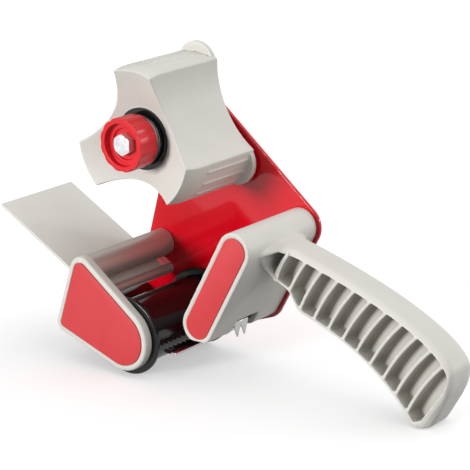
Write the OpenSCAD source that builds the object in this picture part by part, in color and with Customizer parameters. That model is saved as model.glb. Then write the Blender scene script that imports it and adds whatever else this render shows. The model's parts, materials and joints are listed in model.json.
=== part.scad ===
// Hand-held tape dispenser for 50 mm packing tape on a 76 mm core.
// X runs from the flap to the handle, Y along the roller axes with the steel side plate at the back,
// Z up. Places in X are measured from the hub axis, heights from the table that the part stands on,
// and depths from the front face of the side plate. The finished part is centred over the origin.

/* [Layout] */
// Height of the hub axis above the table
hub_z = 121; // [116:1:128]
// Guide roller axis, from the hub axis
guide_x = -29; // [-33:0.5:-26]
// Guide roller axis, above the table
guide_z = 51; // [49:0.5:54]
// Press roller axis, from the hub axis
press_x = -3.5; // [-5:0.5:-1]
// Lower tie rod axis, from the hub axis
tie_x = -43; // [-47:0.5:-40]
// Lower tie rod axis, above the table
tie_z = 21; // [18:0.5:25]
// Flap hinge axis, from the hub axis
flap_x = -25; // [-26:0.5:-22]
// Flap hinge axis, above the table
flap_z = 37; // [34:0.5:38]
// Upper centre of the handle block, from the hub axis
block_top_x = 64; // [58:0.5:70]
// Upper centre of the handle block, above the table
block_top_z = 75.5; // [72:0.5:80]
// Lower centre of the handle block, from the hub axis
block_low_x = 39.5; // [37:0.5:43]
// Lower centre of the handle block, above the table
block_low_z = 33; // [32:0.5:36]

/* [Side plate] */
// Thickness of the steel side plate
plate_t = 2; // [1.5:0.1:3]
// Plate radius round the hub bolt
hub_lobe = 17.6; // [15:0.2:20]
// Plate radius round the guide roller axle
guide_lobe = 10; // [9:0.2:12]
// Plate radius round the tie rod
tie_lobe = 6; // [5:0.2:8]
// Plate radius round the press roller axle
press_lobe = 14; // [12:0.5:16]
// Margin of the plate round the handle block
block_margin = 1.8; // [1:0.2:3]

/* [Front guard] */
// Clear width between the side plate and the front guard
tape_space = 59.6; // [57:0.2:66]
// Thickness of the guard
guard_t = 5; // [4:0.2:7]
// Guard radius at the guide roller
guard_guide_r = 8; // [7:0.2:9.5]
// Guard radius at the tie rod
guard_tie_r = 5.2; // [4.8:0.2:7]
// Guard radius at the press roller
guard_press_r = 17.3; // [15:0.1:19]
// Border of the guard round its coloured insert
guard_border = 2.8; // [2:0.2:4]
// Thickness of the coloured inserts
insert_t = 0.8; // [0.6:0.1:1.2]
// How deep the coloured inserts sit in their recess
insert_sink = 0.6; // [0.4:0.1:1]
// Depth of the blind holes that take the ends of the rods
rod_seat = 3; // [2:0.2:3.2]

/* [Rods] */
// Diameter of the two roller axles and the tie rod
rod_d = 6; // [5:0.5:7]
// Diameter of the flap hinge pin
pin_d = 3; // [2.5:0.1:3.4]
// Width across the flats of the nuts on the back
nut_af = 10; // [9:0.5:12]
// Thickness of the nuts on the back
nut_t = 4; // [3:0.2:6]
// Thickness of the rivet head on the flap pin
rivet_t = 1.4; // [1:0.1:2]
// Diameter of the rivet head on the flap pin
rivet_d = 6; // [5:0.2:7]
// Wall of the spacer on the tie rod
spacer_wall = 1.5; // [1:0.1:2]

/* [Hub] */
// Radius of the lobes that carry the tape core
hub_r = 37.6; // [37:0.1:37.8]
// Distance from the axis to the hollow sides
hub_waist = 21.6; // [20:0.2:24]
// Half of the angle that a lobe spans
lobe_half = 18.7; // [16:0.1:22]
// Turn of the upper lobe from upright
hub_turn = -3.5; // [-60:0.5:60]
// Length of the hub along its axis
hub_len = 51.9; // [48:0.1:54]
// Gap between the hub and the side plate
hub_gap = 1.9; // [1.6:0.1:3]
// Radius of the stop lip at the back of each lobe
lip_r = 42.8; // [40:0.2:45]
// Thickness of the stop lip
lip_t = 3; // [2:0.2:5]
// Radius of the flat floor inside the front dish
dish_floor_r = 16.4; // [16:0.1:18]
// Depth of the front dish
dish_depth = 9.6; // [7:0.2:12]
// Wall of the hub
hub_wall = 3; // [2:0.2:4]
// Radius of the bearing boss in the hub
hub_boss_r = 10; // [8:0.5:13]
// Grip ribs on each lobe
grip_ribs = 3; // [2:1:5]
// Height of the grip ribs
grip_rib_h = 0.4; // [0.2:0.1:0.6]
// Width of the grip ribs
grip_rib_w = 1.4; // [1:0.1:2]
// Angle between the outer grip ribs of a lobe
grip_rib_span = 22; // [14:1:28]
// Distance of the grip ribs from the front
grip_rib_start = 17; // [14:1:24]
// Length of the rounded lead-in at the front of the lobes
lead_len = 11; // [8:0.5:13]
// How far the lead-in draws the lobes in at the front
lead_drop = 1.4; // [0.8:0.1:2]

/* [Tension knob] */
// Radius of the knob
knob_r = 13.7; // [12:0.1:15]
// Length of the knob
knob_len = 12.3; // [10:0.1:15]
// Grip scallops round the knob
scallops = 12; // [8:1:16]
// Radius of the scallops
scallop_r = 3.6; // [3:0.1:4.2]
// Depth of the scallops
scallop_depth = 0.8; // [0.4:0.1:1.2]
// Radius of the front recess in the knob
knob_recess_r = 10.8; // [9.8:0.1:11.6]
// Depth of the front recess in the knob
knob_recess = 3.2; // [2:0.2:5]
// Radius of the counterbore for the bolt head
bolt_pocket_r = 8; // [7:0.1:9]
// Diameter of the hub bolt
bolt_d = 6; // [5:0.5:8]
// Width across the flats of the bolt head
bolt_af = 10; // [9:0.5:12]
// Height of the bolt head
bolt_head = 4; // [3:0.2:5]
// How far the bolt head sits below the rim of the knob
bolt_sink = 0.5; // [0:0.1:1]
// Length of the bolt that stands out of its nut
bolt_proud = 1; // [0.5:0.1:2]
// Outer diameter of the bearing sleeve round the bolt
sleeve_d = 12; // [10.6:0.2:14]
// Outer radius of the friction ring
ring_r = 15.8; // [14:0.1:16]
// Thickness of the friction ring
ring_t = 1.4; // [1:0.1:2]
// Outer radius of the steel washer behind the knob
washer_r = 13.4; // [12:0.1:13.6]
// Thickness of the steel washer
washer_t = 1.6; // [1:0.1:2]
// Free height of the cone spring between washer and ring
cone_h = 1.8; // [1.6:0.1:3]
// Thickness of the cone spring
cone_t = 0.8; // [0.5:0.1:1]
// Gap between the cone spring and the bolt
cone_gap = 0.5; // [0.3:0.1:1]
// Margin of the washer round the cone spring
cone_margin = 1; // [0.5:0.1:2]

/* [Rollers] */
// Radius of the guide roller
guide_r = 7.4; // [6.6:0.1:8]
// Wall of the guide roller tube
guide_wall = 1.2; // [0.8:0.1:2]
// Length of the bushes in the guide roller
bush_len = 8; // [5:0.5:14]
// Radius of the rubber sleeve of the press roller
press_r = 17; // [15.5:0.1:17.5]
// Wall of the rubber sleeve
rubber_wall = 4; // [2:0.2:6]
// Radius of the end flanges of the press roller
flange_r = 20.5; // [19.8:0.1:21.5]
// Thickness of the end flanges
flange_t = 2.4; // [1.6:0.2:4]

/* [Flap] */
// Length of the flap from its hinge axis
flap_len = 78; // [60:1:90]
// Width of the flap
flap_w = 53; // [48:0.5:55]
// Thickness of the flap
flap_t = 1.6; // [1.2:0.1:2.4]
// Upward tilt of the flap at rest
flap_tilt = 29; // [26:0.5:31]
// Diameter of the hinge tube that grips the flap
tube_d = 5.4; // [5:0.1:6]
// Depth of the flap in the hinge tube
flap_grip = 0.7; // [0.4:0.1:0.9]

/* [Handle] */
// Half width of the handle block
block_r = 9.5; // [8.5:0.1:11]
// Depth of the handle block in front of the plate
block_depth = 54.4; // [50:0.2:58]
// Wall of the hollow handle block
block_wall = 3; // [2.4:0.1:4]
// Border of the block round its coloured insert
block_border = 2.2; // [1.6:0.1:3]
// Radius of the screw bosses inside the block
boss_r = 4; // [3.4:0.1:5]
// Diameter of the handle screws
screw_d = 4; // [3:0.2:5]
// Length of the handle screws inside the block
screw_len = 16; // [10:1:24]
// Diameter of the handle screw heads
screw_head_d = 8; // [6:0.2:9]
// Height of the handle screw heads
screw_head_h = 2.4; // [1.6:0.1:3]
// Rise of the lower handle screw above the lower centre of the block
screw_rise = 14; // [10:0.5:20]
// Thickness of the webs that carry the screw bosses
boss_web = 2.4; // [1.6:0.1:3]
// Front of the grip, in front of the plate
grip_front = 35; // [30:0.5:40]
// Thickness of the grip
grip_w = 22; // [18:0.5:26]
// Reach of the grip from the upper centre of the block
grip_len = 110; // [104:1:116]
// Height of the grip where its end turns down, above the table
grip_end_z = 29.5; // [26:0.5:32]
// Depth of the finger notch under the grip
notch_depth = 8; // [5:0.5:9]
// Distance of the finger notch from the upper centre of the block
notch_x = 20; // [17:0.5:23]
// Length of the step at the end of the finger notch
notch_len = 8; // [6:0.5:11]
// Fillet between block and grip on the front
front_fillet = 14; // [10:0.5:16]
// Fillet between block and grip towards the plate
back_fillet = 8; // [5:0.5:10]
// Wall of the grip along its upper edge
grip_top_wall = 2.6; // [2.2:0.1:4]
// Wall of the grip along its lower edge
grip_wall = 1.8; // [1.6:0.1:3]
// Depth of the ribbed pocket in the front of the grip
pocket_depth = 9; // [6:0.5:10]
// Corner cut of the pockets at the end of the grip
pocket_corner = 5; // [3:0.5:7]
// Radius of the arch where the upper edge of the pockets meets the block
pocket_arch = 2.5; // [1:0.5:5]
// Width of the hollow between the block and the floor of the front pocket
cove_w = 7; // [5:0.5:8]
// Length of that hollow along the side of the block
cove_len = 14; // [9:0.5:18]
// Thickness of the web between the front and the back pocket of the grip
web_t = 3; // [2:0.2:4]
// Cross ribs in the pockets of the grip
ribs = 11; // [6:1:14]
// Thickness of the cross ribs
rib_t = 1.8; // [1.2:0.1:3]
// Distance of the first cross rib from the upper centre of the block
rib_start = 16.8; // [15:0.2:19]
// Pitch of the cross ribs
rib_pitch = 9.2; // [8:0.1:9.4]
// How far along the cross ribs their bow is centred above the upper centre of the block
rib_rise = 5; // [0:0.5:8]
// Lean of the cross ribs above the horizontal
rib_lean = 56; // [50:0.5:60]
// Radius of the gentle bow of the cross ribs
rib_bow = 100; // [70:1:140]
// How far the ribs stay behind the open edges
rib_sink = 0.6; // [0.2:0.1:2]
// Length of the slot under the block
slot_len = 17; // [15:0.5:20]
// Distance of the slot from the plate
slot_start = 19; // [17:0.5:21]
// Angle of the slot's upper edge above the horizontal
slot_open = -3; // [-4:1:8]
// Depth of the flat seat under the block
seat_cut = 1.2; // [0.6:0.1:2]
// Thickness of the ledge over the seat that takes the carrier screws
ledge_t = 5; // [4:0.1:6]
// How far the ledge reaches past both ends of the slot
ledge_lap = 4; // [3:0.5:6]

/* [Blade] */
// Length of the blade along the roller
blade_len = 47; // [40:1:50]
// Distance of the blade from the plate
blade_start = 6; // [4:0.5:8]
// Width of the blade up to its tooth tips
blade_w = 9.5; // [8:0.1:10.5]
// Thickness of the blade and of its carrier
blade_t = 1; // [0.8:0.1:1.4]
// Height of the blade above the table
blade_z = 13.6; // [12:0.2:15]
// Distance of the tooth tips from the press roller axis
blade_reach = 17.6; // [17.2:0.1:19]
// Pitch of the blade teeth
tooth_pitch = 3.2; // [2.5:0.1:5]
// Depth of the blade teeth
tooth_h = 2.4; // [1.6:0.1:3]
// Overlap of blade and carrier at the rivets
blade_lap = 5.4; // [5.2:0.1:5.8]
// Length of the folded carrier along the blade
carrier_len = 26; // [24:1:30]
// Reach of the carrier's tongue past the lower block centre
carrier_reach = 7.5; // [6.5:0.1:8.5]
// Width of the carrier's tongue in the slot
tongue_w = 11; // [9:0.5:13]
// Rise of the carrier's tongue into the slot
tongue_rise = 6.2; // [5:0.1:6.8]
// Gap between the ledge of the block and the carrier's tongue
tongue_gap = 1.5; // [1:0.1:2.5]
// Distance of the carrier screws from the lower block centre
carrier_inset = 3; // [2.4:0.1:4]
// Length of the carrier's seat in front of its screws
carrier_lap = 6; // [4:0.5:8]
// Pitch of the coarse teeth on the carrier
lug_pitch = 5.5; // [4:0.5:6.5]
// Depth of the coarse teeth on the carrier
lug_h = 8; // [6:0.5:9]
// Diameter of the blade rivets and of the carrier screws
small_screw_d = 3; // [2.5:0.1:3.4]
// Diameter of the heads of the blade rivets and of the carrier screws
small_head_d = 4.6; // [4.2:0.1:5]
// Height of the heads of the blade rivets and of the carrier screws
small_head_h = 1; // [0.8:0.1:1.6]
// Distance of the rivets from the ends of the blade
rivet_end = 6; // [4.5:0.5:9]

/* [Fits] */
// Radial clearance of running fits
run_fit = 0.06; // [0.03:0.01:0.1]
// Radial clearance of rods, screws and inserts in their holes
seat_fit = 0.05; // [0.02:0.01:0.1]
// End play between a moving piece and its neighbour
end_play = 0.3; // [0.2:0.05:0.5]

/* [Hidden] */
$fn = 96;

hub_at = [0, hub_z];
guide_at = [guide_x, guide_z];
press_at = [press_x, flange_r];
tie_at = [tie_x, tie_z];
flap_at = [flap_x, flap_z];
block_top = [block_top_x, block_top_z];
block_low = [block_low_x, block_low_z];

guard_back = -tape_space;
guard_front = guard_back - guard_t;
rod_front = guard_back - rod_seat;
rod_back = plate_t + nut_t;
block_front = -block_depth;

// Hub stack along its axis, from the plate towards the knob
hub_back = -hub_gap;
hub_tip = hub_back - hub_len;
dish_floor = hub_tip + dish_depth;
ring_front = dish_floor - ring_t;
cone_front = ring_front - cone_h;
washer_front = cone_front - washer_t;
knob_back = washer_front;
knob_front = knob_back - knob_len;
bolt_floor = knob_front + bolt_head + bolt_sink;
sleeve_front = dish_floor + end_play;
sleeve_flange = hub_gap - end_play;

// Centre distance and radius of the hollow sides of the hub
lobe_edge = hub_r * cos(60 - lobe_half);
side_far = (pow(hub_r, 2) - pow(hub_waist, 2)) / (2 * (lobe_edge - hub_waist));
side_r = side_far - hub_waist;
dish_slope = (hub_r - lead_drop - dish_floor_r) / dish_depth;

// Directions along and across the handle block
block_axis = block_top - block_low;
block_dir = block_axis / norm(block_axis);
block_side = [block_dir[1], -block_dir[0]];
web_turn = atan2(block_side[1], block_side[0]);

// Places of the blade, its carrier and the slot
blade_tip_x = press_x + blade_reach;
blade_back_x = blade_tip_x + blade_w;
carrier_top = block_low_z - block_r + seat_cut;
blade_front = -blade_start - blade_len;
slot_front = -slot_start - slot_len;
carrier_front = -blade_start - carrier_len;

// Upper and lower edge of the grip as cubic curves: start, two handles, end
grip_end_x = block_top_x + grip_len;
grip_top = [
    block_top + [-4, 4.5],
    block_top + [0.397 * grip_len, -4.7],
    block_top + [1.005 * grip_len, -29.8],
    [grip_end_x, grip_end_z]];
grip_low = [
    block_top + [-4, -21.5],
    [block_top_x + 0.258 * grip_len, 40.2],
    [block_top_x + 0.552 * grip_len, 39],
    [grip_end_x - 21, 1.5]];
// The rounded end of the grip beyond those curves: lower point, upper point, inset of the sides
grip_end = [
    [[grip_end_x - 19, 0.4], [grip_end_x - 0.2, grip_end_z - 3.4], 0.2],
    [[grip_end_x - 16, 0], [grip_end_x - 0.8, grip_end_z - 7], 1.2],
    [[grip_end_x - 13.3, 0.6], [grip_end_x - 2.2, grip_end_z - 11], 3],
    [[grip_end_x - 11.4, 2], [grip_end_x - 4.4, grip_end_z - 14.9], 5.5]];
grip_steps = 40;
corner_steps = 5;
grip_back = -grip_front + grip_w;
// Edge radii of the grip: lower front, lower back, upper back, upper front
grip_edges = [1.4, 2, 6, 4.5];
// Fillets at those four edges where they meet the block, and how much each rises for what it stands out
edge_fillets = [front_fillet, back_fillet, back_fillet, front_fillet];
fillet_rises = [1, 0, 0, 0];
web_front = -grip_front + pocket_depth;
web_back = web_front + web_t;

function bezier(p, s) = pow(1 - s, 3) * p[0] + 3 * s * pow(1 - s, 2) * p[1]
    + 3 * s * s * (1 - s) * p[2] + pow(s, 3) * p[3];
function polar(r, a) = [r * cos(a), r * sin(a)];

function ease(t) = let (c = min(1, max(0, t))) c * c * (3 - 2 * c);

// The lower edge with its finger notch
function grip_under(s) = let (
    p = bezier(grip_low, s),
    past = (p[0] - block_top_x - notch_x) / notch_len + 0.5)
    p + [0, notch_depth * (1 - ease(past))];

// Stations of the grip: lower point, upper point, inset of the sides
grip_stations = concat(
    [for (i = [0 : grip_steps]) [grip_under(i / grip_steps), bezier(grip_top, i / grip_steps), 0]],
    grip_end);

flap_dir = polar(1, 180 - flap_tilt);
flap_tip_x = flap_x + flap_len * flap_dir[0] - flap_t / 2 * flap_dir[1];
grip_reach = max([for (g = grip_stations) g[1][0]]);
centre_x = (flap_tip_x + grip_reach) / 2;
insert_stand = max(0, insert_t - insert_sink);
centre_y = (guard_front - insert_stand + rod_back + bolt_proud) / 2;

module placed() translate([-centre_x, -centre_y, 0]) children();

// Extrudes a drawing in X and Z from depth y0 to depth y1
module across(y0, y1) translate([0, y1, 0]) rotate([90, 0, 0]) linear_extrude(y1 - y0) children();

module rod(c, d, y0, y1) across(y0, y1) translate(c) circle(d = d);

module nut_shape(c, af, d, y0, y1) {
    difference() {
        translate([c[0], y1, c[1]]) rotate([90, 0, 0]) cylinder(d = af / cos(30), h = y1 - y0, $fn = 6);
        rod(c, d, y0 - 1, y1 + 1);
    }
}

module ring_shape(c, r_out, r_in, y0, y1) {
    across(y0, y1) translate(c) difference() {
        circle(r_out);
        circle(r_in);
    }
}

module belt(lobes) hull() for (l = lobes) translate(l[0]) circle(l[1]);

module stadium(r) belt([[block_top, r], [block_low, r]]);

module guard_outline(inset) belt([
    [guide_at, guard_guide_r - inset],
    [tie_at, guard_tie_r - inset],
    [press_at, guard_press_r - inset]]);

// Three-lobed outline of the hub: a disc with three hollow sides
module hub_outline(inset) {
    translate(hub_at) difference() {
        circle(hub_r - inset);
        for (k = [0 : 2]) rotate(hub_turn + 30 + 120 * k) translate([side_far, 0]) circle(side_r + inset);
    }
}

// Turns a profile of radius and depth about the hub axis
module hub_turned() translate([0, 0, hub_z]) rotate([-90, 0, 0]) rotate_extrude() children();

module side_plate() {
    color("firebrick") placed() across(0, plate_t) difference() {
        belt([
            [hub_at, hub_lobe],
            [guide_at, guide_lobe],
            [tie_at, tie_lobe],
            [press_at, press_lobe],
            [block_low, block_r + block_margin],
            [block_top, block_r + block_margin]]);
        translate(hub_at) circle(bolt_d / 2 + run_fit);
        for (c = [guide_at, tie_at, press_at]) translate(c) circle(rod_d / 2 + seat_fit);
        translate(flap_at) circle(pin_d / 2 + seat_fit);
        for (c = handle_screw_places()) translate(c) circle(screw_d / 2 + seat_fit);
    }
}

module front_guard() {
    color("lightgray") placed() difference() {
        across(guard_front, guard_back) guard_outline(0);
        across(guard_front - 1, guard_front + insert_sink) guard_outline(guard_border);
        for (c = [guide_at, tie_at, press_at]) rod(c, rod_d + 2 * seat_fit, rod_front, guard_back + 1);
        rod(flap_at, pin_d + 2 * seat_fit, rod_front, guard_back + 1);
    }
}

module guard_insert() {
    insert_back = guard_front + insert_sink;
    color("crimson") placed() across(insert_back - insert_t, insert_back)
        guard_outline(guard_border + seat_fit);
}

module tie_rod() {
    color("silver") placed() {
        rod(tie_at, rod_d, rod_front, rod_back);
        rod(tie_at, rod_d + 2 * spacer_wall, guard_back, 0);
    }
}

module guide_axle() color("silver") placed() rod(guide_at, rod_d, rod_front, rod_back);

module press_axle() color("silver") placed() rod(press_at, rod_d, rod_front, rod_back);

module flap_pin() {
    color("silver") placed() {
        rod(flap_at, pin_d, rod_front, plate_t);
        rod(flap_at, rivet_d, plate_t, plate_t + rivet_t);
    }
}

module rod_nuts() {
    color("silver") placed() for (c = [guide_at, tie_at, press_at])
        nut_shape(c, nut_af, rod_d + 2 * seat_fit, plate_t, rod_back);
}

module hub_sleeve() {
    color("silver") placed() ring_shape(hub_at, sleeve_d / 2, bolt_d / 2 + run_fit, sleeve_front, 0);
}

module hub_nut() color("silver") placed() nut_shape(hub_at, nut_af, bolt_d + 2 * run_fit, plate_t, rod_back);

module rear_washer() {
    color("dimgray") placed() ring_shape(hub_at, hub_boss_r, sleeve_d / 2 + seat_fit, -sleeve_flange, 0);
}

module grip_rib_bars() {
    root = hub_wall / 3;
    for (k = [0 : 2], i = [0 : grip_ribs - 1]) {
        lean = 90 + hub_turn + 120 * k + grip_rib_span * (i / (grip_ribs - 1) - 0.5);
        translate([0, 0, hub_z]) rotate([0, -lean, 0])
            translate([hub_r - root, hub_tip + grip_rib_start, -grip_rib_w / 2])
            cube([root + grip_rib_h, hub_len - grip_rib_start - lip_t / 2, grip_rib_w]);
    }
}

// Round stop tabs behind the lobes
module stop_lips() {
    tab_r = hub_r * sin(lobe_half);
    across(hub_back - lip_t, hub_back) translate(hub_at) for (k = [0 : 2])
        rotate(hub_turn + 120 * k) translate([0, lip_r - tab_r]) circle(tab_r);
}

// What the rounded lead-in takes off the front of the lobes
module lead_cut() {
    steps = 6;
    drop = [for (i = [0 : steps]) let (t = 1 - i / steps)
        [hub_r - lead_drop * t * t, hub_tip + lead_len * (1 - t)]];
    hub_turned() polygon(concat(drop, [[hub_r + lip_t, hub_tip + lead_len], [hub_r + lip_t, hub_tip - lip_t],
        [hub_r - lead_drop - lip_t / dish_slope, hub_tip - lip_t]]));
}

// Open back of the hub, behind the skin of the dish
module hub_hollow() {
    skin = dish_floor + hub_wall;
    intersection() {
        across(hub_tip, hub_back + 1) hub_outline(hub_wall);
        hub_turned() polygon([
            [0, skin],
            [dish_floor_r, skin],
            [dish_floor_r + dish_slope * dish_depth, skin - dish_depth],
            [lip_r, skin - dish_depth],
            [lip_r, hub_back + 1],
            [0, hub_back + 1]]);
    }
}

module hub() {
    over = 2;
    color("gainsboro") placed() difference() {
        union() {
            difference() {
                union() {
                    across(hub_tip, hub_back) hub_outline(0);
                    stop_lips();
                    grip_rib_bars();
                }
                hub_hollow();
            }
            across(dish_floor, hub_back) translate(hub_at) circle(hub_boss_r);
        }
        lead_cut();
        hub_turned() polygon([
            [0, dish_floor],
            [dish_floor_r, dish_floor],
            [dish_floor_r + dish_slope * (dish_depth + over), hub_tip - over],
            [0, hub_tip - over]]);
        rod(hub_at, sleeve_d + 2 * run_fit, hub_tip, hub_back + 1);
    }
}

module friction_ring() {
    color("black") placed() ring_shape(hub_at, ring_r, sleeve_d / 2 + run_fit, ring_front, dish_floor);
}

module cone_spring() {
    inner = bolt_d / 2 + cone_gap;
    outer = washer_r - cone_margin;
    color("silver") placed() hub_turned() polygon([
        [inner, cone_front],
        [inner + cone_t, cone_front],
        [outer, ring_front - end_play - cone_t],
        [outer, ring_front - end_play],
        [outer - cone_t, ring_front - end_play],
        [inner, cone_front + cone_t]]);
}

module tension_washer() {
    color("silver") placed() ring_shape(hub_at, washer_r, bolt_d / 2 + seat_fit, washer_front, cone_front);
}

module tension_knob() {
    color("crimson") placed() difference() {
        across(knob_front, knob_back) translate(hub_at) difference() {
            circle(knob_r);
            for (i = [0 : scallops - 1]) rotate(360 / scallops * i)
                translate([knob_r + scallop_r - scallop_depth, 0]) circle(scallop_r, $fn = 48);
        }
        rod(hub_at, 2 * knob_recess_r, knob_front - 1, knob_front + knob_recess);
        rod(hub_at, 2 * bolt_pocket_r, knob_front, bolt_floor);
        rod(hub_at, bolt_d + 2 * seat_fit, knob_front, knob_back + 1);
    }
}

module hub_bolt() {
    color("silver") placed() {
        translate([0, bolt_floor, hub_z]) rotate([90, 0, 0])
            cylinder(d = bolt_af / cos(30), h = bolt_head, $fn = 6);
        rod(hub_at, bolt_d, bolt_floor, rod_back + bolt_proud);
    }
}

module guide_roller() {
    color("silver") placed()
        ring_shape(guide_at, guide_r, guide_r - guide_wall, guard_back + end_play, -end_play);
}

module guide_bushes() {
    bush_r = guide_r - guide_wall - seat_fit;
    roller_front = guard_back + end_play;
    color("dimgray") placed() {
        ring_shape(guide_at, bush_r, rod_d / 2 + run_fit, roller_front, roller_front + bush_len);
        ring_shape(guide_at, bush_r, rod_d / 2 + run_fit, -end_play - bush_len, -end_play);
    }
}

module press_sleeve() {
    color("black") placed() ring_shape(press_at, press_r, press_r - rubber_wall,
        guard_back + end_play + flange_t, -end_play - flange_t);
}

module press_core() {
    color("dimgray") placed() ring_shape(press_at, press_r - rubber_wall - seat_fit, rod_d / 2 + run_fit,
        guard_back + end_play + flange_t, -end_play - flange_t);
}

module press_flanges() {
    front = guard_back + end_play;
    color("black") placed() {
        ring_shape(press_at, flange_r, rod_d / 2 + run_fit, front, front + flange_t);
        ring_shape(press_at, flange_r, rod_d / 2 + run_fit, -end_play - flange_t, -end_play);
    }
}

// Turns a drawing whose X axis runs along the flap into place
module flap_drawing() translate(flap_at) rotate(180 - flap_tilt) children();

module flap_tube() {
    color("silver") placed() across(guard_back + end_play, -end_play) difference() {
        translate(flap_at) circle(tube_d / 2);
        translate(flap_at) circle(pin_d / 2 + run_fit);
        flap_drawing() translate([tube_d / 2 - flap_grip, -flap_t / 2 - seat_fit])
            square([tube_d, flap_t + 2 * seat_fit]);
    }
}

module flap() {
    side = (tape_space - flap_w) / 2;
    color("gainsboro") placed() across(guard_back + side, -side) flap_drawing()
        translate([tube_d / 2 - flap_grip + seat_fit, -flap_t / 2])
        square([flap_len - tube_d / 2 + flap_grip - seat_fit, flap_t]);
}

function handle_screw_places() = [block_top, block_low + screw_rise * block_dir];

// Distance of a point in X and Z from the side of the block, and how far a fillet stands out there
function past_block(p) = (p - block_top) * block_side - block_r;
function stand_out(fillet, d) = let (rest = min(fillet, max(0, fillet - d)))
    fillet - sqrt(pow(fillet, 2) - pow(rest, 2));

// One closed cross-section of the grip between a lower and an upper point, filleted where it meets the block
function grip_ring(g) = let (
    rise = g[1] - g[0],
    h = norm(rise),
    dir = rise / h,
    y = [-grip_front + g[2], grip_back - g[2]],
    corners = [[y[0], 0, 1, 1, 180], [y[1], 0, -1, 1, 270], [y[1], h, -1, -1, 0], [y[0], h, 1, -1, 90]])
    [for (i = [0 : 3]) let (c = corners[i], r = min(grip_edges[i], h * 0.4))
        for (j = [0 : corner_steps]) let (
            a = c[4] + 90 * j / corner_steps,
            up = c[1] + c[3] * r + r * sin(a),
            out = stand_out(edge_fillets[i], past_block(g[0] + up * dir)) * (1 - max(0, sin(a))),
            at = g[0] + (up + fillet_rises[i] * out) * dir)
        [at[0], c[0] + c[2] * r + (r + out) * cos(a), at[1]]];

module grip_body() {
    n = 4 * (corner_steps + 1);
    last = len(grip_stations) - 1;
    points = [for (g = grip_stations) each grip_ring(g)];
    sides = [for (s = [0 : last - 1], i = [0 : n - 1]) let (
        a = s * n + i,
        b = s * n + (i + 1) % n)
        each [[a, a + n, b], [b, a + n, b + n]]];
    caps = [for (i = [1 : n - 2]) each [[0, i, i + 1], [last * n, last * n + i + 1, last * n + i]]];
    polyhedron(points, concat(sides, caps), convexity = 6);
}

// Open pocket of the grip, drawn inside the two edge curves, narrowed at the block and cut off at the end
function along(g) = (g[1] - g[0]) / norm(g[1] - g[0]);
function pocket_top(g) = let (p = g[1] - grip_top_wall * along(g))
    p - stand_out(pocket_arch, past_block(p)) * along(g);
function pocket_low(g) = let (p = g[0] + grip_wall * along(g))
    p + fillet_rises[0] * stand_out(front_fillet, past_block(p)) * along(g);

module pocket_outline() {
    rows = [for (i = [0 : grip_steps]) let (g = grip_stations[i]) if (past_block(pocket_low(g)) > 0) g];
    last = grip_end[0];
    polygon(concat(
        [for (g = rows) pocket_low(g)],
        [last[0] + pocket_corner * along(last), last[1] - pocket_corner * along(last)],
        [for (i = [len(rows) - 1 : -1 : 0]) pocket_top(rows[i])]));
}

// Parallel ribs, each a shallow arc bowed towards the block
module pocket_ribs() {
    across_rib = [sin(rib_lean), -cos(rib_lean)];
    middle = block_top + rib_rise * polar(1, rib_lean);
    for (i = [0 : ribs - 1]) translate(middle + (rib_start + i * rib_pitch + rib_bow) * across_rib)
        difference() {
            circle(rib_bow + rib_t / 2, $fn = 180);
            circle(rib_bow - rib_t / 2, $fn = 180);
            rotate(rib_lean) translate([-2 * rib_bow, -2 * rib_bow]) square([4 * rib_bow, 2 * rib_bow]);
        }
}

// Hollow curve from the side of the block to the floor of the front pocket
module cove() {
    turn = atan2(block_dir[1], block_dir[0]);
    arc = [for (i = [0 : 2 * corner_steps]) let (a = 90 * i / (2 * corner_steps))
        [cove_w * (1 - cos(a)), cove_len * (sin(a) - 1)]];
    translate([block_top[0], 0, block_top[1]]) rotate([0, -turn, 0]) rotate([0, 90, 0])
        translate([block_r, web_front, -2 * block_r]) linear_extrude(3 * block_r)
        polygon(concat([[-1, -cove_len]], arc, [[cove_w, 1], [-1, 1]]));
}

// What is taken out of the grip on both sides of its web
module pockets() {
    difference() {
        across(block_front, web_front) pocket_outline();
        cove();
    }
    across(web_back, 0) pocket_outline();
}

module slot_cut() {
    across(slot_front, -slot_start) polygon([
        block_low + polar(2 * block_r, slot_open),
        block_low,
        block_low + [0, -2 * block_r],
        block_low + 2 * block_r * [1, -1]]);
}

module handle() {
    insert_back = block_front + insert_sink;
    color("lightgray") placed() difference() {
        union() {
            difference() {
                union() {
                    across(block_front, 0) stadium(block_r);
                    difference() {
                        grip_body();
                        pockets();
                    }
                }
                across(block_front + block_wall, 1) stadium(block_r - block_wall);
                slot_cut();
            }
            across(-grip_front + rib_sink, grip_back - rib_sink) intersection() {
                pocket_outline();
                pocket_ribs();
            }
            for (c = handle_screw_places()) across(-screw_len - block_wall, 0) translate(c) {
                circle(boss_r);
                rotate(web_turn) square([2 * block_r - block_wall, boss_web], center = true);
            }
            across(slot_front - ledge_lap, -slot_start + ledge_lap) intersection() {
                stadium(block_r - block_wall / 2);
                translate(block_low - [block_r, block_r]) square([block_r, seat_cut + ledge_t]);
            }
        }
        across(block_front - 1, insert_back) stadium(block_r - block_border);
        across(block_front - 1, 0) translate(block_low - [block_r, 2 * block_r])
            square([2 * block_r, block_r + seat_cut]);
        for (c = handle_screw_places()) rod(c, screw_d + 2 * seat_fit, -screw_len - 1, 1);
        carrier_holes();
    }
}

module handle_insert() {
    insert_back = block_front + insert_sink;
    color("crimson") placed() across(insert_back - insert_t, insert_back)
        stadium(block_r - block_border - seat_fit);
}

module handle_screws() {
    color("silver") placed() for (c = handle_screw_places()) {
        rod(c, screw_d, -screw_len, plate_t);
        rod(c, screw_head_d, plate_t, plate_t + screw_head_h);
    }
}

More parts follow.
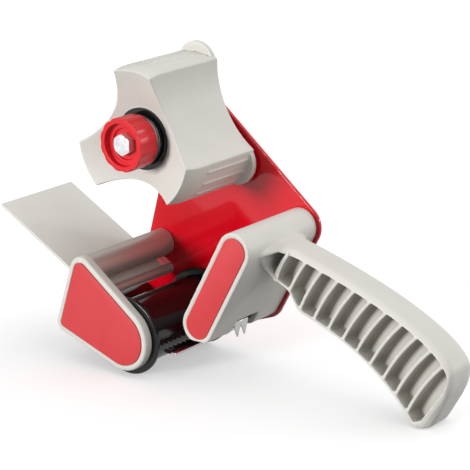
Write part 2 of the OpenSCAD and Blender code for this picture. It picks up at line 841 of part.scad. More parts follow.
// Where the carrier is screwed to the block, and where the blade is riveted to the carrier
carrier_screw_y = [slot_front, -slot_start];
carrier_screw_x = block_low_x - carrier_inset;
rivet_y = [carrier_front + rivet_end, -blade_start - rivet_end];
rivet_x = blade_back_x - (small_head_d + blade_t) / 2;

module upright(x, ys, d, z0, z1) for (y = ys) translate([x, y, z0]) cylinder(d = d, h = z1 - z0, $fn = 48);

module carrier_holes() {
    upright(carrier_screw_x, carrier_screw_y, small_screw_d + 2 * seat_fit,
        carrier_top - 2 * blade_t, carrier_top + 2 * ledge_t);
}

module rivet_holes() {
    upright(rivet_x, rivet_y, small_screw_d + 2 * seat_fit, blade_z - blade_t, blade_z + 3 * blade_t);
}

module blade() {
    teeth = floor(blade_len / tooth_pitch);
    step = blade_len / teeth;
    color("silver") placed() difference() {
        translate([blade_tip_x, blade_front, blade_z]) linear_extrude(blade_t) polygon(concat(
            [[blade_w, 0], [blade_w, blade_len]],
            [for (i = [teeth : -1 : 1]) each [[tooth_h, step * i], [0, step * (i - 0.5)]]],
            [[tooth_h, 0]]));
        rivet_holes();
    }
}

// A folded strip of sheet along a line of points, with round bends
module folded(line) {
    for (i = [1 : len(line) - 1]) hull() {
        translate(line[i - 1]) circle(d = blade_t, $fn = 32);
        translate(line[i]) circle(d = blade_t, $fn = 32);
    }
}

module blade_carrier() {
    low = blade_z + 1.5 * blade_t;
    high = carrier_top - blade_t / 2;
    fold_x = carrier_screw_x - carrier_lap;
    tongue_x = block_low_x + tongue_gap + blade_t / 2;
    tongue_top = high + tongue_rise;
    lug_x = block_low_x + carrier_reach;
    tongue_front = slot_front + tongue_gap / 2;
    lugs = floor(tongue_w / lug_pitch);
    lug_step = tongue_w / lugs;
    color("silver") placed() difference() {
        union() {
            across(carrier_front, -blade_start) folded([
                [blade_back_x - blade_lap, low],
                [blade_back_x, low],
                [fold_x, high]]);
            across(slot_front - ledge_lap, -blade_start) folded([
                [fold_x, high],
                [tongue_x, high]]);
            across(tongue_front, tongue_front + tongue_w) folded([
                [tongue_x, high],
                [tongue_x, tongue_top],
                [lug_x, tongue_top]]);
            translate([lug_x + blade_t / 2, tongue_front, tongue_top]) rotate([0, 90, 0])
                translate([0, 0, -blade_t]) linear_extrude(blade_t) polygon(concat(
                    [[0, tongue_w], [0, 0]],
                    [for (i = [0 : lugs - 1]) each [[blade_t, lug_step * i], [lug_h, lug_step * (i + 0.5)]]],
                    [[blade_t, tongue_w]]));
        }
        carrier_holes();
        rivet_holes();
    }
}

module blade_rivets() {
    top = blade_z + 2 * blade_t;
    color("silver") placed() {
        upright(rivet_x, rivet_y, small_screw_d, blade_z - small_head_h, top + small_head_h);
        upright(rivet_x, rivet_y, small_head_d, blade_z - small_head_h, blade_z);
        upright(rivet_x, rivet_y, small_head_d, top, top + small_head_h);
    }
}

module carrier_screws() {
    seat = carrier_top - blade_t;
    color("silver") placed() {
        upright(carrier_screw_x, carrier_screw_y, small_screw_d, seat - small_head_h, carrier_top + ledge_t);
        upright(carrier_screw_x, carrier_screw_y, small_head_d, seat - small_head_h, seat);
    }
}

side_plate();
front_guard();
guard_insert();
tie_rod();
guide_axle();
press_axle();
flap_pin();
rod_nuts();
hub_sleeve();
hub_nut();
rear_washer();
hub();
friction_ring();
cone_spring();
tension_washer();
tension_knob();
hub_bolt();
guide_roller();
guide_bushes();
press_sleeve();
press_core();
press_flanges();
flap_tube();
flap();
handle();
handle_insert();
handle_screws();
blade();
blade_carrier();
blade_rivets();
carrier_screws();
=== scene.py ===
"""Hand-held tape dispenser: the finish of every piece around its packed construction."""

import json
import math
from contextlib import contextmanager

import bpy
from mathutils import Matrix, Vector


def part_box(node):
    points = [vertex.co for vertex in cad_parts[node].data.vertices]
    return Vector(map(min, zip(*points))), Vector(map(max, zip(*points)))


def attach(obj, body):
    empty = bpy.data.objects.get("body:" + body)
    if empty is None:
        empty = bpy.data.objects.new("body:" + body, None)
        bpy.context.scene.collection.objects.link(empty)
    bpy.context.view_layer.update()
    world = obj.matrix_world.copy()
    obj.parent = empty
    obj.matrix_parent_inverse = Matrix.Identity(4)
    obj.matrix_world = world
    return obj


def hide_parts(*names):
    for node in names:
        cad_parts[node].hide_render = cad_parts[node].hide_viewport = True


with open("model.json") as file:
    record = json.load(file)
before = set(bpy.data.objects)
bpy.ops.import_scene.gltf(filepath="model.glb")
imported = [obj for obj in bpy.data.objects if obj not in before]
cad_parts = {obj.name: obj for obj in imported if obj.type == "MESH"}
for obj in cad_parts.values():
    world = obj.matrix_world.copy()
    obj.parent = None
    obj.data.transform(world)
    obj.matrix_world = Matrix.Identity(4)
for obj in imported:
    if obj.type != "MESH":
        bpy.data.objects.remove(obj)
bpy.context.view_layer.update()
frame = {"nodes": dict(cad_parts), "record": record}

MM = 0.001


# Where the pieces are, read from the frame

def middle(node):
    """The centre of a node in X and Z."""
    low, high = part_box(node)
    return ((low.x + high.x) / 2, (low.z + high.z) / 2)


def depth(node):
    """The front and back of a node in Y."""
    low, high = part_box(node)
    return low.y, high.y


hub_at = middle("hub_sleeve")
guide_at = middle("guide_axle")
tie_at = middle("tie_rod")
press_at = middle("press_axle")

PANEL_R = 7.25 * MM
panel_low, panel_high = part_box("handle_insert")
block_top = (panel_high.x - PANEL_R, panel_high.z - PANEL_R)
block_low = (panel_low.x + PANEL_R, panel_low.z + PANEL_R)


# Selecting and editing

def deselect():
    bpy.ops.object.select_all(action="DESELECT")


def activate(piece):
    """Makes a piece the only selected one."""
    deselect()
    piece.select_set(True)
    bpy.context.view_layer.objects.active = piece


@contextmanager
def editing(piece):
    """Edit mode with the whole of a piece selected."""
    activate(piece)
    bpy.ops.object.mode_set(mode="EDIT")
    bpy.ops.mesh.select_all(action="SELECT")
    yield
    bpy.ops.object.mode_set(mode="OBJECT")


@contextmanager
def picking(piece, test):
    """Edit mode with only those faces of a piece selected whose normal passes a test."""
    with editing(piece):
        bpy.ops.mesh.select_mode(type="FACE")
        bpy.ops.mesh.select_all(action="DESELECT")
        bpy.ops.object.mode_set(mode="OBJECT")
        for face in piece.data.polygons:
            face.select = test(face.normal)
        bpy.ops.object.mode_set(mode="EDIT")
        yield


SQUARE_ON = 0.99


def faces_front(normal):
    return normal.y < -SQUARE_ON


def faces_back(normal):
    return normal.y > SQUARE_ON


def settle(piece, name):
    """Names a piece and puts its place into its mesh."""
    activate(piece)
    bpy.ops.object.transform_apply(location=True, rotation=True, scale=True)
    piece.name = name
    piece.data.name = name
    return piece


def modify(piece, kind, **settings):
    """Adds a modifier and applies it."""
    activate(piece)
    step = piece.modifiers.new(kind.lower(), kind)
    for key, value in settings.items():
        setattr(step, key, value)
    bpy.ops.object.modifier_apply(modifier=step.name)
    return piece


SMOOTH_ANGLE = math.radians(32)


def smooth(piece):
    """Shades a piece smooth and keeps its sharp edges."""
    activate(piece)
    bpy.ops.object.shade_smooth_by_angle(angle=SMOOTH_ANGLE)
    return piece


def merge(pieces):
    """Joins pieces into the first one."""
    deselect()
    for piece in pieces:
        piece.select_set(True)
    bpy.context.view_layer.objects.active = pieces[0]
    bpy.ops.object.join()
    return pieces[0]


# Turned, cut and moulded shapes

def drum(at, radius, front, back, sides=96):
    """A round or many-sided bar along Y."""
    deselect()
    bpy.ops.mesh.primitive_cylinder_add(
        vertices=sides, radius=radius, depth=back - front,
        location=(at[0], (front + back) / 2, at[1]), rotation=(math.pi / 2, 0, 0))
    return settle(bpy.context.object, "drum")


def bar(low, high):
    """A box between two corners."""
    deselect()
    bpy.ops.mesh.primitive_cube_add(size=1, location=(Vector(low) + Vector(high)) / 2)
    box = bpy.context.object
    box.scale = Vector(high) - Vector(low)
    return settle(box, "bar")


BELT_FLAT = math.radians(0.5)


def belt(circles, front, back):
    """A plate whose outline is a band drawn tight round circles."""
    plate = merge([drum(at, radius, front, back) for at, radius in circles])
    with editing(plate):
        bpy.ops.mesh.convex_hull(use_existing_faces=False)
        bpy.ops.mesh.select_all(action="SELECT")
        bpy.ops.mesh.dissolve_limited(angle_limit=BELT_FLAT)
        bpy.ops.mesh.normals_make_consistent(inside=False)
    return plate


def round_rim(piece, test, width, steps=4):
    """Rounds the outer edges of the faces that pass a test."""
    with picking(piece, test):
        bpy.ops.mesh.region_to_loop()
        bpy.ops.mesh.bevel(offset=width, segments=steps, affect="EDGES", clamp_overlap=True)
    return piece


def recess(piece, test, border, sink, lip):
    """Sinks a panel into the faces that pass a test and breaks the edge of the recess."""
    with picking(piece, test):
        bpy.ops.mesh.inset(thickness=border, use_even_offset=True)
        bpy.ops.mesh.inset(thickness=lip, depth=-lip, use_even_offset=True)
        bpy.ops.mesh.inset(thickness=lip / 4, depth=lip - sink, use_even_offset=True)
    return piece


def cut(piece, tool, operation="DIFFERENCE"):
    """Cuts a piece with a tool that is then thrown away."""
    modify(piece, "BOOLEAN", operation=operation, object=tool, solver="EXACT")
    bpy.data.objects.remove(tool)
    return piece


MERGE_GAP = 0.002 * MM


def copy_of(node):
    """A merged copy of a node's mesh."""
    piece = frame["nodes"][node].copy()
    piece.data = piece.data.copy()
    piece.parent = None
    for key in list(piece.keys()):
        del piece[key]
    bpy.context.scene.collection.objects.link(piece)
    piece.data.materials.clear()
    with editing(piece):
        bpy.ops.mesh.remove_doubles(threshold=MERGE_GAP)
    return piece


SHEET_FLAT = math.radians(1)


def eased(node, width, steps, degrees):
    """A copy of a node with the edges broken that turn by more than an angle."""
    piece = copy_of(node)
    with editing(piece):
        bpy.ops.mesh.dissolve_limited(angle_limit=SHEET_FLAT)
    modify(piece, "BEVEL", width=width, segments=steps, limit_method="ANGLE",
           angle_limit=math.radians(degrees))
    return smooth(piece)


SLANT = Matrix.Rotation(0.6, 4, "X") @ Matrix.Rotation(0.5, 4, "Y") @ Matrix.Rotation(0.8, 4, "Z")
EVEN_OUT = 0.5


def moulded(node, grain, rounds):
    """A node's shape with the rounded edges of a moulding, meshed askew so no edge follows the grid."""
    piece = copy_of(node)
    piece.data.transform(SLANT)
    modify(piece, "REMESH", mode="VOXEL", voxel_size=grain)
    modify(piece, "SMOOTH", factor=EVEN_OUT, iterations=rounds)
    piece.data.transform(SLANT.inverted())
    return piece


def soften(piece, start, end, full, reach, rounds):
    """Blends the surface near a line into one sweep: fully within one distance, not at all past another."""
    line = end - start
    area = piece.vertex_groups.new(name="soften")
    for vertex in piece.data.vertices:
        along = min(1, max(0, (vertex.co - start).dot(line) / line.length_squared))
        share = (reach - (vertex.co - start - along * line).length) / (reach - full)
        if share > 0:
            area.add([vertex.index], min(1, share), "REPLACE")
    modify(piece, "SMOOTH", factor=EVEN_OUT, iterations=rounds, vertex_group=area.name)
    piece.vertex_groups.remove(piece.vertex_groups["soften"])


def thin(piece, triangles):
    """Keeps a moulding, meshed in quads, under a number of triangles and shades it smooth."""
    modify(piece, "DECIMATE", ratio=min(1, triangles / (2 * len(piece.data.polygons))))
    activate(piece)
    bpy.ops.object.shade_smooth()
    return piece


# Shader expressions

class Value:
    """A shader socket that takes part in sums and products."""

    def __init__(self, sheet, socket):
        self.sheet = sheet
        self.socket = socket

    def maths(self, operation, first, second):
        return self.sheet.node("ShaderNodeMath", {0: first, 1: second}, {"operation": operation})

    def __add__(self, other):
        return self.maths("ADD", self, other)

    def __sub__(self, other):
        return self.maths("SUBTRACT", self, other)

    def __rsub__(self, other):
        return self.maths("SUBTRACT", other, self)

    def __mul__(self, other):
        return self.maths("MULTIPLY", self, other)

    __radd__ = __add__
    __rmul__ = __mul__


EDGE_START = 0.52
HOLLOW_SAMPLES = 8


class Sheet:
    """A node tree under way: one method adds any node, and the rest are shorthands for it."""

    def __init__(self, owner, shader):
        owner.use_nodes = True
        self.owner = owner
        self.tree = owner.node_tree
        self.shader = self.tree.nodes[shader]

    def node(self, kind, inputs=None, settings=None, out=0):
        made = self.tree.nodes.new(kind)
        for key, value in (settings or {}).items():
            setattr(made, key, value)
        for key, value in (inputs or {}).items():
            self.feed(made.inputs[key], value)
        return Value(self, made.outputs[out])

    def feed(self, socket, value):
        """Links a socket to a value, or sets it to a constant."""
        if isinstance(value, Value):
            self.tree.links.new(value.socket, socket)
        else:
            socket.default_value = value

    def place(self, stretch=(1, 1, 1)):
        """Object coordinates, stretched along the axes."""
        at = self.node("ShaderNodeTexCoord", out="Object")
        return self.node("ShaderNodeMapping", {"Vector": at, "Scale": stretch})

    def noise(self, scale, detail, stretch=(1, 1, 1)):
        return self.node("ShaderNodeTexNoise",
                         {"Vector": self.place(stretch), "Scale": scale, "Detail": detail})

    def ramp(self, value, low, high):
        """A value's smooth rise from 0 at one level to 1 at another."""
        return self.node("ShaderNodeMapRange", {"Value": value, "From Min": low, "From Max": high},
                         {"interpolation_type": "SMOOTHSTEP"})

    def mix(self, share, first, second):
        """A mix of two colours, through the colour sockets of the node."""
        return self.node("ShaderNodeMix", {0: share, 6: first, 7: second}, {"data_type": "RGBA"}, out=2)

    def edges(self, full):
        """How sharply the surface turns outwards, from 0 on flats to 1 at a full edge."""
        return self.ramp(self.node("ShaderNodeNewGeometry", out="Pointiness"), EDGE_START, full)

    def hollows(self, reach, low, high):
        """How deep the surface lies in its piece's own hollows, from 0 in the open to 1."""
        open_air = self.node("ShaderNodeAmbientOcclusion", {"Distance": reach},
                             {"only_local": True, "samples": HOLLOW_SAMPLES}, out="AO")
        return 1 - self.ramp(open_air, low, high)

    def bump(self, height, depth, strength):
        return self.node("ShaderNodeBump", {"Height": height, "Distance": depth, "Strength": strength})

    def set(self, **inputs):
        """Sets or links the shader's own sockets and gives back the material or world."""
        for key, value in inputs.items():
            self.feed(self.shader.inputs[key.replace("_", " ")], value)
        return self.owner


def finish_sheet(name):
    """The sheet of a new material."""
    return Sheet(bpy.data.materials.new(name), "Principled BSDF")


def rgb(red, green, blue):
    return (red, green, blue, 1)


# Finishes

SOOT = rgb(0.005, 0.0045, 0.005)
DULL_ZINC = rgb(0.64, 0.65, 0.67)
BRIGHT_ZINC = rgb(0.76, 0.76, 0.77)


def grey_moulding():
    """Warm light grey plastic with a fine spark-eroded skin, shade painted darker into its hollows and a
    highlight painted paler along its edges.
    """
    s = finish_sheet("grey_moulding")
    cloud = s.noise(scale=60, detail=3)
    grain = s.noise(scale=2600, detail=2)
    shaded = rgb(0.36, 0.345, 0.31)
    painted_edge_highlight = rgb(0.80, 0.79, 0.76)
    body = s.mix(s.ramp(cloud, 0.3, 0.7), rgb(0.615, 0.60, 0.555), rgb(0.635, 0.62, 0.575))
    # Painted shade: the hollows are darkened in the base colour through an ambient occlusion mask.
    body = s.mix(s.hollows(reach=9 * MM, low=0.3, high=0.85) * 0.75, body, shaded)
    # Painted highlight: the edges are made paler in the base colour.
    body = s.mix(s.edges(full=0.62) * 0.55, body, painted_edge_highlight)
    return s.set(Base_Color=body, Roughness=0.36 + grain * 0.16, Specular_IOR_Level=0.3,
                 Normal=s.bump(grain, depth=0.02 * MM, strength=0.3))


def red_paint():
    """Gloss red stove enamel on sheet steel, with a trace of orange peel, and shade painted dark red along
    its edges.
    """
    s = finish_sheet("red_paint")
    peel = s.noise(scale=420, detail=1)
    coat = s.noise(scale=45, detail=2)
    # Painted shade: the plate's edges are darkened in the base colour.
    dark = rgb(0.16, 0.0004, 0.004)
    body = s.mix(s.ramp(coat, 0.3, 0.7), rgb(0.52, 0.0008, 0.008), rgb(0.56, 0.0012, 0.010))
    body = s.mix(s.edges(full=0.6) * 0.8, body, dark)
    return s.set(Base_Color=body, Roughness=0.05 + coat * 0.04, Specular_IOR_Level=0.45,
                 Normal=s.bump(peel, depth=0.006 * MM, strength=0.3))


def red_panel():
    """Satin red inlay, plain all over."""
    s = finish_sheet("red_panel")
    grain = s.noise(scale=1900, detail=2)
    cloud = s.noise(scale=70, detail=2)
    body = s.mix(s.ramp(cloud, 0.3, 0.7), rgb(0.58, 0.042, 0.048), rgb(0.61, 0.047, 0.053))
    return s.set(Base_Color=body, Roughness=0.44 + grain * 0.12, Specular_IOR_Level=0.3,
                 Normal=s.bump(grain, depth=0.02 * MM, strength=0.3))


def red_knob():
    """Moulded gloss red plastic, its edges painted paler as a painted highlight."""
    s = finish_sheet("red_knob")
    grain = s.noise(scale=1500, detail=2)
    # Painted highlight: the knob's edges are made paler in the base colour.
    painted_edge_highlight = rgb(0.78, 0.06, 0.065)
    body = s.mix(s.edges(full=0.64) * 0.5, rgb(0.66, 0.010, 0.018), painted_edge_highlight)
    return s.set(Base_Color=body, Roughness=0.26 + grain * 0.12, Specular_IOR_Level=0.35,
                 Normal=s.bump(grain, depth=0.01 * MM, strength=0.25))


def black_rubber():
    """Polished black rubber, a little dusty."""
    s = finish_sheet("black_rubber")
    dust = s.noise(scale=500, detail=3)
    body = s.mix(s.ramp(dust, 0.5, 0.8), SOOT, rgb(0.009, 0.0085, 0.0085))
    return s.set(Base_Color=body, Roughness=0.09 + dust * 0.08, Specular_IOR_Level=0.4)


def black_gloss():
    """Gloss black plastic of the roller flanges, with a faint highlight painted paler along its edges."""
    s = finish_sheet("black_gloss")
    cloud = s.noise(scale=120, detail=2)
    # Painted highlight: the flanges' edges are made a little paler in the base colour.
    body = s.mix(s.edges(full=0.62), SOOT, rgb(0.014, 0.013, 0.013))
    return s.set(Base_Color=body, Roughness=0.2 + cloud * 0.1, Specular_IOR_Level=0.35)


def dark_nylon():
    """Dark grey nylon of the bushes, the roller core and the rear washer."""
    s = finish_sheet("dark_nylon")
    grain = s.noise(scale=1500, detail=2)
    body = s.mix(grain, rgb(0.035, 0.035, 0.036), rgb(0.055, 0.055, 0.056))
    return s.set(Base_Color=body, Roughness=0.4 + grain * 0.15,
                 Normal=s.bump(grain, depth=0.02 * MM, strength=0.3))


def zinc_plate():
    """Bright zinc plate, a little cloudy."""
    s = finish_sheet("zinc_plate")
    cloud = s.noise(scale=300, detail=3)
    body = s.mix(s.ramp(cloud, 0.35, 0.65), DULL_ZINC, BRIGHT_ZINC)
    return s.set(Base_Color=body, Metallic=0.35, Roughness=0.18 + cloud * 0.16,
                 Normal=s.bump(cloud, depth=0.01 * MM, strength=0.3))


def washer_steel():
    """Polished steel of the washer behind the knob."""
    s = finish_sheet("washer_steel")
    cloud = s.noise(scale=300, detail=3)
    body = s.mix(cloud, rgb(0.40, 0.39, 0.38), rgb(0.50, 0.49, 0.48))
    return s.set(Base_Color=body, Metallic=1.0, Roughness=0.16 + cloud * 0.12)


def spacer_steel():
    """The tie rod: painted near black as painted shade between guard and plate, bright zinc at its end
    behind the plate.
    """
    s = finish_sheet("spacer_steel")
    cloud = s.noise(scale=300, detail=3)
    along = s.node("ShaderNodeSeparateXYZ", {0: s.place()}, out="Y")
    behind = s.ramp(along, *depth("side_plate"))
    # Painted shade: between guard and plate the zinc rod is coloured near black, standing in for the shade
    # there.
    black = s.mix(cloud, rgb(0.06, 0.058, 0.056), rgb(0.10, 0.098, 0.096))
    bright = s.mix(cloud, DULL_ZINC, BRIGHT_ZINC)
    return s.set(Base_Color=s.mix(behind, black, bright), Metallic=1 - behind * 0.65,
                 Roughness=0.18 + cloud * 0.14)


def satin_chrome():
    """Satin plated tube with the fine marks of grinding round it."""
    s = finish_sheet("satin_chrome")
    marks = s.noise(scale=1, detail=3, stretch=(60, 4200, 60))
    body = s.mix(marks, rgb(0.48, 0.44, 0.40), rgb(0.54, 0.50, 0.46))
    return s.set(Base_Color=body, Metallic=0.5, Roughness=0.40 + marks * 0.12,
                 Normal=s.bump(marks, depth=0.004 * MM, strength=0.2))


def blade_steel():
    """Stamped spring steel with rolling marks along the blade."""
    s = finish_sheet("blade_steel")
    marks = s.noise(scale=1, detail=3, stretch=(2600, 90, 2600))
    body = s.mix(marks, rgb(0.36, 0.36, 0.36), rgb(0.50, 0.50, 0.495))
    return s.set(Base_Color=body, Metallic=1.0, Roughness=0.10 + marks * 0.1,
                 Normal=s.bump(marks, depth=0.004 * MM, strength=0.2))


SLOT_FINISH = {
    "plate_red": red_paint(),
    "grey_plastic": grey_moulding(),
    "insert_red": red_panel(),
    "knob_red": red_knob(),
    "black_rubber": black_rubber(),
    "black_plastic": black_gloss(),
    "dark_plastic": dark_nylon(),
    "zinc": zinc_plate(),
    "satin_chrome": satin_chrome(),
    "blade_steel": blade_steel()}
NODE_FINISH = {"tie_rod": spacer_steel(), "tension_washer": washer_steel()}


def dress_nodes():
    """Gives every node of the frame the finish of its slot, or its own."""
    for row in frame["record"]["subparts"]:
        node = frame["nodes"][row["node"]]
        node.data.materials.clear()
        node.data.materials.append(NODE_FINISH.get(row["node"], SLOT_FINISH[row["material_slot"]]))
        smooth(node)


def finish(piece, name, body, slot, node):
    """Names a piece, gives it its finish and its body, and hides the node that it stands for."""
    settle(piece, name)
    piece.data.materials.clear()
    piece.data.materials.append(SLOT_FINISH[slot])
    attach(piece, body)
    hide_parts(node)


# Side plate, guard and their panels

GUIDE_LOBE = 10 * MM
PLATE_EDGE = 0.45 * MM


def make_plate():
    """The sheet that carries everything, its outline drawn round the places that it holds."""
    low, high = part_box("side_plate")
    block_lobe = high.x - block_top[0]
    plate = belt([
        (hub_at, high.z - hub_at[1]),
        (guide_at, GUIDE_LOBE),
        (tie_at, tie_at[0] - low.x),
        (press_at, press_at[1] - low.z),
        (block_low, block_lobe),
        (block_top, block_lobe)], low.y, high.y)
    for side in (faces_front, faces_back):
        round_rim(plate, side, PLATE_EDGE)
    finish(smooth(plate), "plate_sheet", "frame", "plate_red", "side_plate")


GUARD_BORDER = 2.8 * MM
GUARD_RIM = 1.3 * MM
GUARD_BACK_RIM = 0.6 * MM
RECESS_DEPTH = 0.6 * MM
RECESS_LIP = 0.2 * MM
PANEL_GAP = 0.3 * MM
PANEL_EDGE = 0.25 * MM


def guard_circles(inset):
    """The circles that the guard's outline runs round, drawn in by a distance."""
    low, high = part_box("front_guard")
    return [
        (guide_at, high.z - guide_at[1] - inset),
        (tie_at, tie_at[0] - low.x - inset),
        (press_at, high.x - press_at[0] - inset)]


def make_panel(circles, name, node):
    """A bare red inlay with its front edge broken."""
    inlay = belt(circles, *depth(node))
    round_rim(inlay, faces_front, PANEL_EDGE, steps=3)
    finish(smooth(inlay), name, "frame", "insert_red", node)


def make_guard():
    """The moulded guard with a recess in its front, and the panel in the recess."""
    guard = belt(guard_circles(0), *depth("front_guard"))
    round_rim(guard, faces_front, GUARD_RIM, steps=5)
    round_rim(guard, faces_back, GUARD_BACK_RIM)
    recess(guard, faces_front, border=GUARD_BORDER - GUARD_RIM - RECESS_LIP,
           sink=RECESS_DEPTH, lip=RECESS_LIP)
    finish(smooth(guard), "guard_shell", "frame", "grey_plastic", "front_guard")
    make_panel(guard_circles(GUARD_BORDER + PANEL_GAP), "guard_panel", "guard_insert")


# Hub and knob

MOULDING_TRIANGLES = 180000

# Angles round the hub, in degrees
HUB_TURN = -3.5
LOBES = (0, 120, 240)
RIB_ANGLES = (-11, 0, 11)

RIB_FOOT = 37 * MM
RIB_TOP = 38 * MM
RIB_WIDTH = 1.4 * MM
RIB_EDGE = 0.2 * MM
RIB_START = 17 * MM
LIP_T = 3 * MM


def hub_rib(degrees):
    """A crisp grip rib along one lobe of the hub."""
    front, back = depth("hub")
    rib = bar((RIB_FOOT, front + RIB_START, -RIB_WIDTH / 2), (RIB_TOP, back - LIP_T / 2, RIB_WIDTH / 2))
    modify(rib, "BEVEL", width=RIB_EDGE, segments=3)
    turn = Matrix.Rotation(-math.radians(degrees), 4, "Y")
    rib.matrix_world = Matrix.Translation((hub_at[0], 0, hub_at[1])) @ turn
    return smooth(settle(rib, "rib"))


def make_hub():
    """The hub with its edges rounded and its grip ribs left crisp."""
    hub = thin(moulded("hub", grain=0.34 * MM, rounds=16), MOULDING_TRIANGLES)
    ribs = [hub_rib(90 + HUB_TURN + lobe + lean) for lobe in LOBES for lean in RIB_ANGLES]
    finish(merge([hub] + ribs), "hub_moulding", "hub", "grey_plastic", "hub")


KNOB_TRIANGLES = 120000
FLUTE_FROM = 11.4 * MM
FLUTE_SHARE = 0.4


def make_knob():
    """The knob, with its flutes filled by a share of their depth."""
    knob = moulded("tension_knob", grain=0.2 * MM, rounds=14)
    low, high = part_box("tension_knob")
    outside = (high.x - low.x) / 2
    for vertex in knob.data.vertices:
        across = Vector((vertex.co.x - hub_at[0], 0, vertex.co.z - hub_at[1]))
        if across.length > FLUTE_FROM:
            vertex.co += across * (FLUTE_SHARE * (outside / across.length - 1))
    finish(thin(knob, KNOB_TRIANGLES), "knob_moulding", "knob", "knob_red", "tension_knob")


# Bolt, nuts and screws

HEX_BREAK = 0.9 * MM
HEX_FLATS = 10 * MM
BOLT_HEAD = 4 * MM
BOLT_D = 6 * MM
BOLT_TIP = 0.6 * MM
THREAD_GAP = 0.06 * MM

# How far a cutting tool reaches past the piece that it cuts
TOOL_REACH = MM


def hexagon(at, front, back, crown):
    """A hexagon with its corners turned down at the crowned end."""
    corner = HEX_FLATS / 2 / math.cos(math.radians(30))
    body = drum(at, corner, front, back, sides=6)
    turned = drum(at, corner, front, back)
    round_rim(turned, crown, HEX_BREAK)
    return cut(body, turned, "INTERSECT")


def make_bolt():
    """The hexagon bolt through knob, hub and plate."""
    front, back = depth("hub_bolt")
    head = hexagon(hub_at, front, front + BOLT_HEAD, faces_front)
    shank = drum(hub_at, BOLT_D / 2, front + BOLT_HEAD / 2, back, sides=48)
    round_rim(shank, faces_back, BOLT_TIP, steps=2)
    finish(smooth(merge([head, shank])), "bolt_with_head", "knob", "zinc", "hub_bolt")


def nut(at, node):
    """A hexagon nut with its crown at the back."""
    front, back = depth(node)
    bore = drum(at, BOLT_D / 2 + THREAD_GAP, front - TOOL_REACH, back + TOOL_REACH, sides=48)
    return cut(hexagon(at, front, back, faces_back), bore)


def make_nuts():
    """The nuts of the three rods and of the hub bolt."""
    rods = merge([nut(at, "rod_nuts") for at in (guide_at, tie_at, press_at)])
    finish(smooth(rods), "nuts_of_rods", "frame", "zinc", "rod_nuts")
    finish(smooth(nut(hub_at, "hub_nut")), "nut_of_hub", "frame", "zinc", "hub_nut")


SCREW_HEAD_R = 4 * MM
SCREW_HEAD = 2.4 * MM
SCREW_DOME = 1.5 * MM
SCREW_R = 2 * MM
SCREW_TIP = 0.8 * MM
CROSS_LEN = 4.4 * MM
CROSS_W = 1.0 * MM
CROSS_DEPTH = 1.5 * MM


def pan_screw(at):
    """A pan-head screw with a cross recess, its head at the back."""
    front, back = depth("handle_screws")
    head = drum(at, SCREW_HEAD_R, back - SCREW_HEAD, back, sides=64)
    round_rim(head, faces_back, SCREW_DOME, steps=6)
    for wide, tall in ((CROSS_LEN, CROSS_W), (CROSS_W, CROSS_LEN)):
        cut(head, bar((at[0] - wide / 2, back - CROSS_DEPTH, at[1] - tall / 2),
                      (at[0] + wide / 2, back + TOOL_REACH, at[1] + tall / 2)))
    shank = drum(at, SCREW_R, front, back - SCREW_HEAD / 2 - CROSS_DEPTH, sides=32)
    round_rim(shank, faces_front, SCREW_TIP, steps=2)
    return merge([head, shank])


def make_screws():
    """The two screws that hold the handle."""
    low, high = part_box("handle_screws")
    places = [
        (low.x + SCREW_HEAD_R, low.z + SCREW_HEAD_R),
        (high.x - SCREW_HEAD_R, high.z - SCREW_HEAD_R)]
    screws = merge([pan_screw(at) for at in places])
    finish(smooth(screws), "screws_of_handle", "frame", "zinc", "handle_screws")


# Press roller flanges and flap

FLANGE_T = 2.4 * MM
FLANGE_EDGE = 0.7 * MM


def make_flanges():
    """The discs at the two ends of the press roller."""
    low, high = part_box("press_flanges")
    radius = (high.x - low.x) / 2
    discs = []
    for front in (low.y, high.y - FLANGE_T):
        disc = drum(press_at, radius, front, front + FLANGE_T, sides=128)
        for side in (faces_front, faces_back):
            round_rim(disc, side, FLANGE_EDGE)
        discs.append(disc)
    finish(smooth(merge(discs)), "roller_flanges", "press_roller", "black_plastic", "press_flanges")


def make_flap():
    """The leaf that holds the loose end of the tape."""
    flap = eased("flap", width=0.35 * MM, steps=3, degrees=30)
    finish(flap, "flap_leaf", "flap", "grey_plastic", "flap")


# Handle and blade

# Ends of the lines along the root of the grip and along the lip of its pocket beside the block
ROOT_START = Vector((34.8, -21.1, 73.0)) * MM
ROOT_END = Vector((41.0, -9.5, 80.5)) * MM
LIP_START = Vector((31.1, -13.5, 67.0)) * MM
LIP_END = Vector((33.0, -8.0, 61.0)) * MM

# Places in X and Z along the rib beside the root, each with half the rib's width, in millimetres
FIRST_RIB = [(41.6, 72.6, 1.0), (38.2, 67.8, 1.1), (35.5, 63.0, 1.3), (33.8, 58.8, 1.5)]
FIRST_RIB_DEPTH = (-6.4 * MM, -1.5 * MM)
FIRST_RIB_STEP = 0.06 * MM
FIRST_RIB_EDGE = 0.5 * MM


def first_rib():
    """The rib beside the root, bowed like the others, in lengths that run into each other."""
    places = [((x * MM, z * MM), radius * MM) for x, z, radius in FIRST_RIB]
    front, back = FIRST_RIB_DEPTH
    lengths = []
    for count, ends in enumerate(zip(places, places[1:])):
        step = count * FIRST_RIB_STEP
        length = belt(ends, front + step, back + step)
        lengths.append(smooth(round_rim(length, faces_front, FIRST_RIB_EDGE)))
    return lengths


def make_handle():
    """The block and grip in one moulding, and the panel in the block."""
    handle = moulded("handle", grain=0.36 * MM, rounds=14)
    soften(handle, ROOT_START, ROOT_END, full=3 * MM, reach=8 * MM, rounds=60)
    soften(handle, LIP_START, LIP_END, full=2 * MM, reach=6.5 * MM, rounds=40)
    handle = merge([thin(handle, MOULDING_TRIANGLES)] + first_rib())
    finish(handle, "handle_moulding", "frame", "grey_plastic", "handle")
    make_panel([(at, PANEL_R - PANEL_GAP) for at in (block_top, block_low)],
               "handle_panel", "handle_insert")


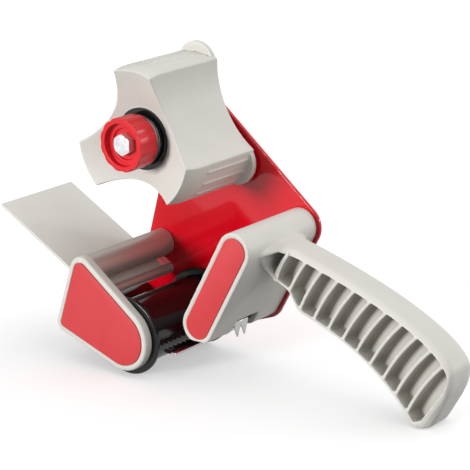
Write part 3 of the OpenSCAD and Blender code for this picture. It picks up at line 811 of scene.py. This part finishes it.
def make_blade():
    """The toothed blade and the folded strip that carries it."""
    for node, name in (("blade", "blade_strip"), ("blade_carrier", "carrier_strip")):
        finish(eased(node, width=0.25 * MM, steps=2, degrees=35), name, "frame", "blade_steel", node)


# Floor, light and camera

FLOOR_SIZE = 12
FLOOR_DROP = 0.2 * MM


def make_floor():
    """A white floor that shows in reflections but throws no light back."""
    deselect()
    bpy.ops.mesh.primitive_plane_add(size=FLOOR_SIZE, location=(0, 0, -FLOOR_DROP))
    floor = bpy.context.object
    floor.name = "floor"
    white = finish_sheet("floor_white").set(
        Base_Color=rgb(0.62, 0.62, 0.62), Roughness=0.9,
        Emission_Color=rgb(1, 1, 1), Emission_Strength=0.42)
    floor.data.materials.append(white)
    floor.visible_diffuse = False


def lamp(name, towards, strength, spread):
    """Light from far away, given the direction in which it is seen and how wide it looks."""
    sun = bpy.data.lights.new(name, "SUN")
    sun.energy = strength
    sun.angle = math.radians(spread)
    holder = bpy.data.objects.new(name, sun)
    bpy.context.scene.collection.objects.link(holder)
    holder.rotation_euler = Vector(towards).to_track_quat("Z", "Y").to_euler()


SKY_AXIS = (0.42, 0.35, 0.84)
SKY_LOW = 0.13
SKY_TOP = 1.5


def make_light():
    """A soft sky, palest at the upper right, a key light from the front and a rim light from behind."""
    s = Sheet(bpy.data.worlds.new("studio"), "Background")
    towards = s.node("ShaderNodeTexCoord", out="Generated")
    rise = s.node("ShaderNodeVectorMath", {0: towards, 1: SKY_AXIS},
                  {"operation": "DOT_PRODUCT"}, out="Value")
    level = s.node("ShaderNodeMapRange", {"Value": rise, "To Min": SKY_LOW, "To Max": SKY_TOP})
    bpy.context.scene.world = s.set(Color=rgb(1, 1, 1), Strength=level)
    lamp("key", towards=(-0.3, -0.94, 0.14), strength=2.95, spread=16)
    lamp("rim", towards=(0.65, 0.74, 0.2), strength=0.4, spread=10)


EYE = Vector((553.47, -665.19, 337.97)) * MM
TARGET = Vector((1.0, 3.9, 72.95)) * MM
ROLL = math.radians(-1.65)
LENS = 139.26
SENSOR = 36
NEAR = 0.01
FAR = 50


def make_camera():
    """The view of the photograph."""
    camera = bpy.data.cameras.new("camera")
    camera.sensor_fit = "HORIZONTAL"
    camera.sensor_width = SENSOR
    camera.lens = LENS
    camera.clip_start = NEAR
    camera.clip_end = FAR
    holder = bpy.data.objects.new("camera", camera)
    bpy.context.scene.collection.objects.link(holder)
    look = (TARGET - EYE).to_track_quat("-Z", "Y").to_matrix().to_4x4()
    holder.matrix_world = Matrix.Translation(EYE) @ look @ Matrix.Rotation(ROLL, 4, "Z")
    bpy.context.scene.camera = holder
    bpy.context.scene.view_settings.view_transform = "Standard"


make_camera()
make_light()
make_floor()
dress_nodes()
make_plate()
make_guard()
make_hub()
make_knob()
make_bolt()
make_nuts()
make_screws()
make_flanges()
make_flap()
make_handle()
make_blade()
